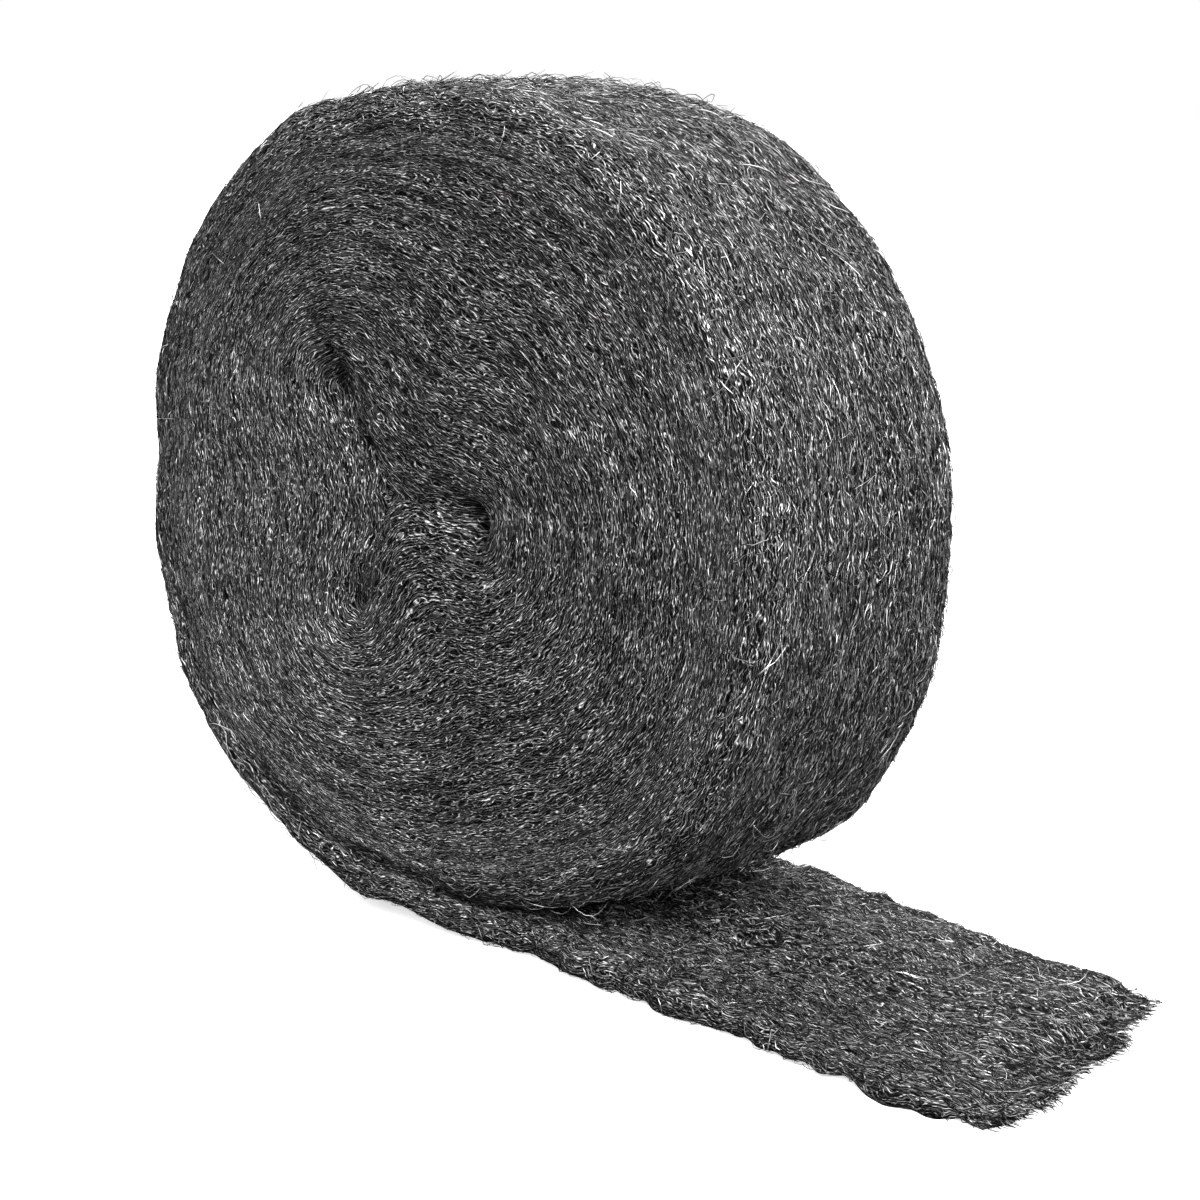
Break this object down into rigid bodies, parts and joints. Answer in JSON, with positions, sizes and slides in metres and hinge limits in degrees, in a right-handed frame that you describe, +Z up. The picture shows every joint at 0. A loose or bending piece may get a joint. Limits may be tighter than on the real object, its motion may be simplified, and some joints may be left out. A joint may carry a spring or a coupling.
{
  "type": "steel wool roll",
  "caption": "Long strip of matted steel wool wound by hand into a squat roll, with its torn end pulled out flat in front, for scouring, sanding and polishing.",
  "frame": {"origin": "on the surface that the roll stands on, straight below the roll's axis, in the middle of its flat spot", "axes": "+Z up; Y along the roll's axis, with the front face that shows the folded core towards -Y; +X the way the loose tail points"},
  "size_m": [0.1953, 0.0836, 0.1484],
  "materials": {
    "steel_wool": "matted fine fibre, dark grey with bright glints"
  },
  "bodies": {
    "root": {"steel_wool_roll": "steel_wool"}
  },
  "joints": []
}
